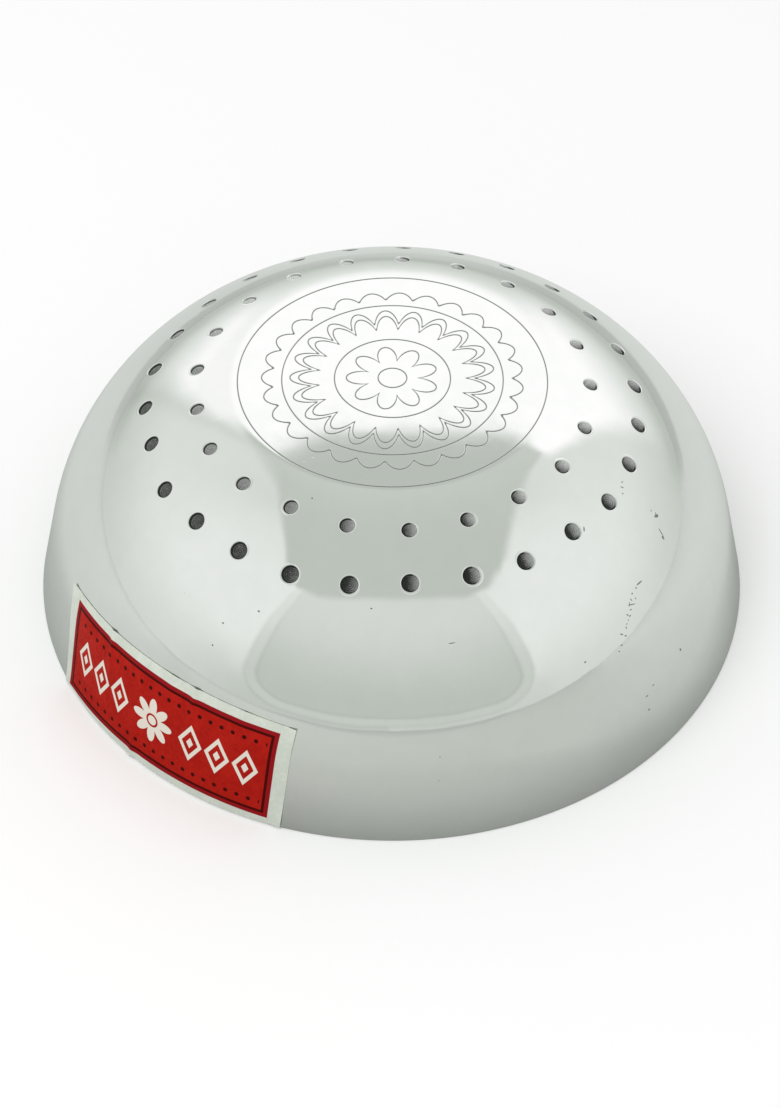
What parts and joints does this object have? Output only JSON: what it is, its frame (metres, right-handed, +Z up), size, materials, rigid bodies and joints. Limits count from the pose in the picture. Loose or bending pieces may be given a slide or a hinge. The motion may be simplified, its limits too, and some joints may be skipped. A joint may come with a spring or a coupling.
{
  "type": "kadai",
  "caption": "Deep round kadai in polished aluminium without handles: flat base ringed by punched dents, curved wall, plain rim and a paper label; it stands upside down on its rim.",
  "frame": {"origin": "on the bowl's axis in the plane of the rim, which is the surface that the inverted bowl stands on", "axes": "+Z up along the bowl's axis, from the rim to the base; -Y faces the viewer, with the label on the viewer's left"},
  "size_m": [0.2398, 0.2398, 0.086],
  "materials": {
    "polished_aluminium": "mirror polished, fine scratches",
    "label_paper": "semi-gloss printed paper"
  },
  "bodies": {
    "root": {"bowl": "polished_aluminium", "label": "label_paper"}
  },
  "joints": []
}
